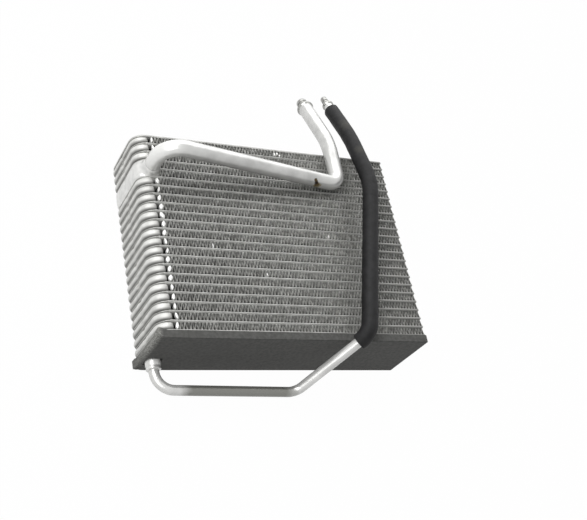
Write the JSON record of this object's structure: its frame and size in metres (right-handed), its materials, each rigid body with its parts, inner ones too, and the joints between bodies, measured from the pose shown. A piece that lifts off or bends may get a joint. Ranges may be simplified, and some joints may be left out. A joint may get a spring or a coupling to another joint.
{
  "type": "evaporator core",
  "caption": "Flat block of thin stacked plates and folded fins that chills air, with two bent pipes rising along its front face and a dark foam strip under it.",
  "frame": {"origin": "middle of the core's back face, on the plate pair half-way up the stack", "axes": "+Z from the back face out of the front face, where the pipes are; +Y up the stack of plates, the way the pipe ends point; +X along the plates, from the header to their free end"},
  "size_m": [0.285, 0.3492, 0.1188],
  "materials": {
    "plate_aluminium": "brazed, satin",
    "fin_aluminium": "mill, lightly oxidised",
    "pipe_aluminium": "drawn, satin",
    "fitting_aluminium": "machined, satin",
    "sleeve_foam": "matt closed-cell foam",
    "pad_foam": "matt closed-cell foam"
  },
  "bodies": {
    "root": {"tube_01": "plate_aluminium", "tube_02": "plate_aluminium", "tube_03": "plate_aluminium", "tube_04": "plate_aluminium", "tube_05": "plate_aluminium", "tube_06": "plate_aluminium", "tube_07": "plate_aluminium", "tube_08": "plate_aluminium", "tube_09": "plate_aluminium", "tube_10": "plate_aluminium", "tube_11": "plate_aluminium", "tube_12": "plate_aluminium", "tube_13": "plate_aluminium", "tube_14": "plate_aluminium", "tube_15": "plate_aluminium", "tube_16": "plate_aluminium", "tube_17": "plate_aluminium", "tube_18": "plate_aluminium", "tube_19": "plate_aluminium", "tube_20": "plate_aluminium", "tube_21": "plate_aluminium", "top_end_plate": "plate_aluminium", "bottom_end_plate": "plate_aluminium", "fin_01": "fin_aluminium", "fin_02": "fin_aluminium", "fin_03": "fin_aluminium", "fin_04": "fin_aluminium", "fin_05": "fin_aluminium", "fin_06": "fin_aluminium", "fin_07": "fin_aluminium", "fin_08": "fin_aluminium", "fin_09": "fin_aluminium", "fin_10": "fin_aluminium", "fin_11": "fin_aluminium", "fin_12": "fin_aluminium", "fin_13": "fin_aluminium", "fin_14": "fin_aluminium", "fin_15": "fin_aluminium", "fin_16": "fin_aluminium", "fin_17": "fin_aluminium", "fin_18": "fin_aluminium", "fin_19": "fin_aluminium", "fin_20": "fin_aluminium", "fin_21": "fin_aluminium", "fin_22": "fin_aluminium", "suction_port": "fitting_aluminium", "liquid_ferrule": "fitting_aluminium", "suction_pipe": "pipe_aluminium", "liquid_pipe": "pipe_aluminium", "foam_sleeve": "sleeve_foam", "foam_pad": "pad_foam"}
  },
  "joints": []
}
